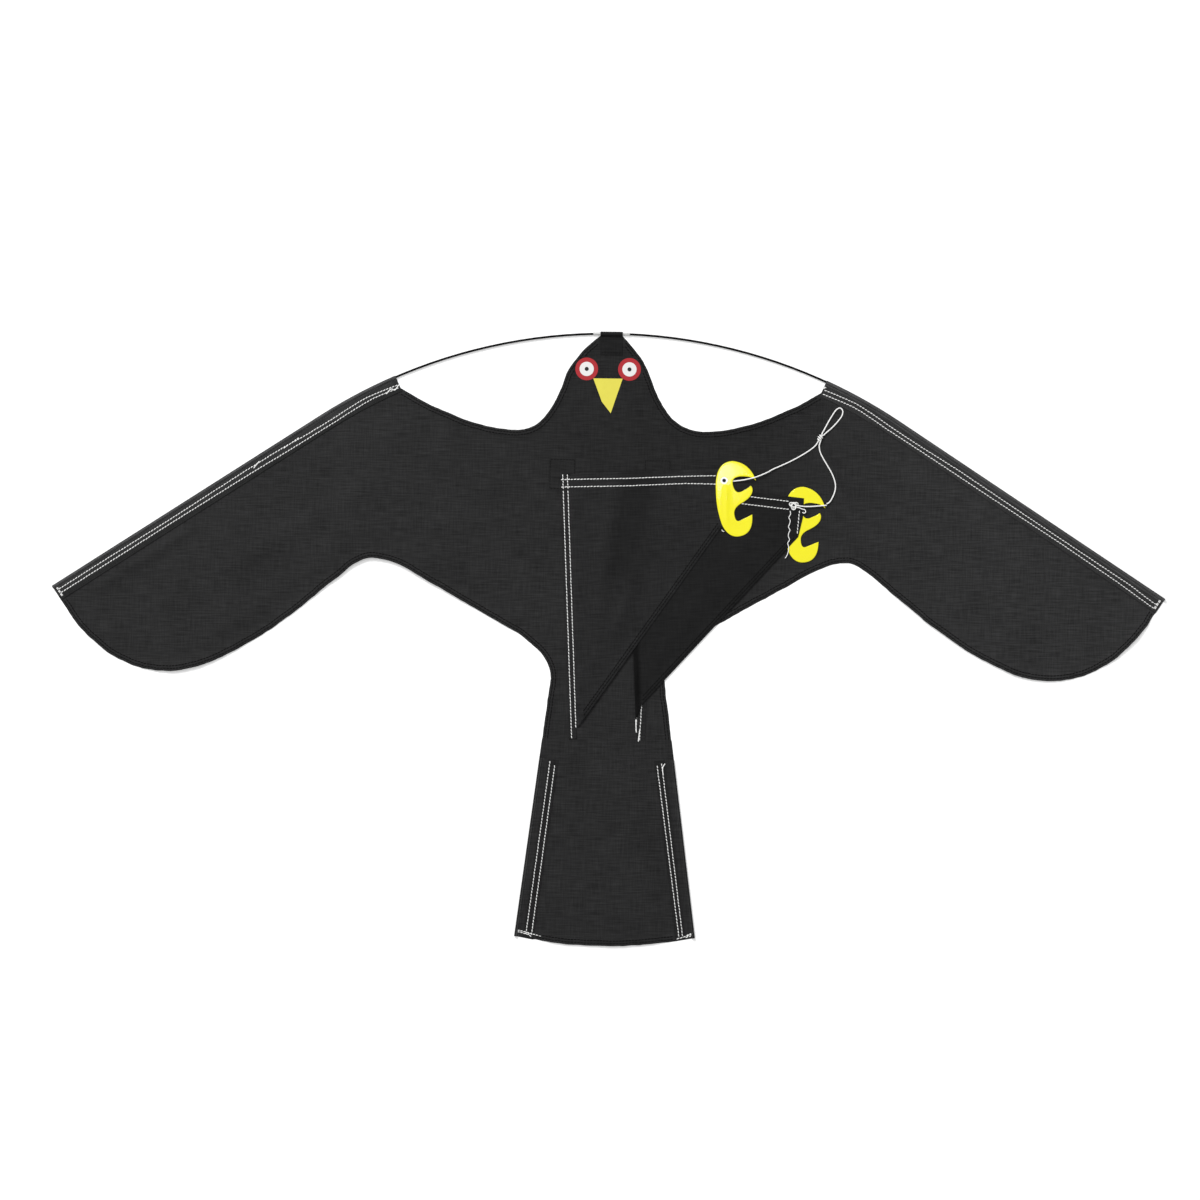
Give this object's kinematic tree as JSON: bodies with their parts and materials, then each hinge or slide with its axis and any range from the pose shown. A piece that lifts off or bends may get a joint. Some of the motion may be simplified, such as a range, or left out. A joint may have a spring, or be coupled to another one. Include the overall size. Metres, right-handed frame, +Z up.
{
  "type": "bird scarer kite",
  "caption": "Hawk-shaped bird scarer kite: black cloth sail on a bowed rod with sewn sleeves, eyes and beak, two folding keel flaps with yellow claws, and a white cord bridle",
  "frame": {"origin": "middle of the kite's outline on the ground it lies on", "axes": "+X along the span to the right wing, +Y to the head, +Z up from the ground, the side with eyes and keels facing up"},
  "size_m": [1.25, 0.69, 0.0075],
  "materials": {
    "sail_cloth": "matte",
    "sleeve_tape": "matte",
    "rod_black": "satin",
    "ferrule_white": "satin",
    "eye_red": "satin",
    "eye_white": "satin",
    "eye_black": "satin",
    "beak_yellow": "satin",
    "claw_yellow": "gloss",
    "eyelet_white": "gloss",
    "cord_white": "matte"
  },
  "bodies": {
    "kite": {"sail": "sail_cloth", "left_wing_sleeve": "sleeve_tape", "right_wing_sleeve": "sleeve_tape", "left_wing_rod": "rod_black", "right_wing_rod": "rod_black", "rod_ferrule": "ferrule_white", "head_loop": "sleeve_tape", "left_tail_sleeve": "sleeve_tape", "right_tail_sleeve": "sleeve_tape", "left_tail_rod": "rod_black", "right_tail_rod": "rod_black", "left_eye_ring": "eye_red", "right_eye_ring": "eye_red", "left_eye_white": "eye_white", "right_eye_white": "eye_white", "left_pupil": "eye_black", "right_pupil": "eye_black", "beak": "beak_yellow", "left_keel_patch": "sail_cloth", "right_keel_patch": "sail_cloth", "left_keel_seam": "sail_cloth", "right_keel_seam": "sail_cloth"},
    "left_keel": {"left_keel": "sail_cloth", "left_claw": "claw_yellow", "left_eyelet": "eyelet_white", "left_tie": "cord_white"},
    "right_keel": {"right_keel": "sail_cloth", "right_claw": "claw_yellow", "right_eyelet": "eyelet_white", "right_tie": "cord_white", "right_tie_knot": "cord_white"},
    "bridle": {"bridle_left_leg": "cord_white", "bridle_right_leg": "cord_white", "bridle_knot": "cord_white"},
    "line_loop": {"bridle_loop": "cord_white"}
  },
  "joints": [
    {"name": "left_keel_fold", "type": "hinge", "parent": "kite", "child": "left_keel", "pos_m": [-0.045, 0.185, 0.0025], "axis": [0.0454, -0.999, 0], "range_deg": [0, 120]},
    {"name": "right_keel_fold", "type": "hinge", "parent": "kite", "child": "right_keel", "pos_m": [0.02, 0.185, 0.0018], "axis": [0.0454, -0.999, 0], "range_deg": [0, 120]},
    {"name": "bridle_swing", "type": "hinge", "parent": "left_keel", "child": "bridle", "pos_m": [0.1765, 0.1885, 0.0031], "axis": [0.0454, -0.999, 0], "range_deg": [-120, 0]},
    {"name": "loop_lift", "type": "hinge", "parent": "bridle", "child": "line_loop", "pos_m": [0.236, 0.229, 0.0031], "axis": [0.8238, -0.5669, 0], "range_deg": [0, 120]}
  ],
  "couplings": [
    {"joint": "right_keel_fold", "follows": "left_keel_fold", "ratio": 1},
    {"joint": "bridle_swing", "follows": "left_keel_fold", "ratio": -1}
  ]
}
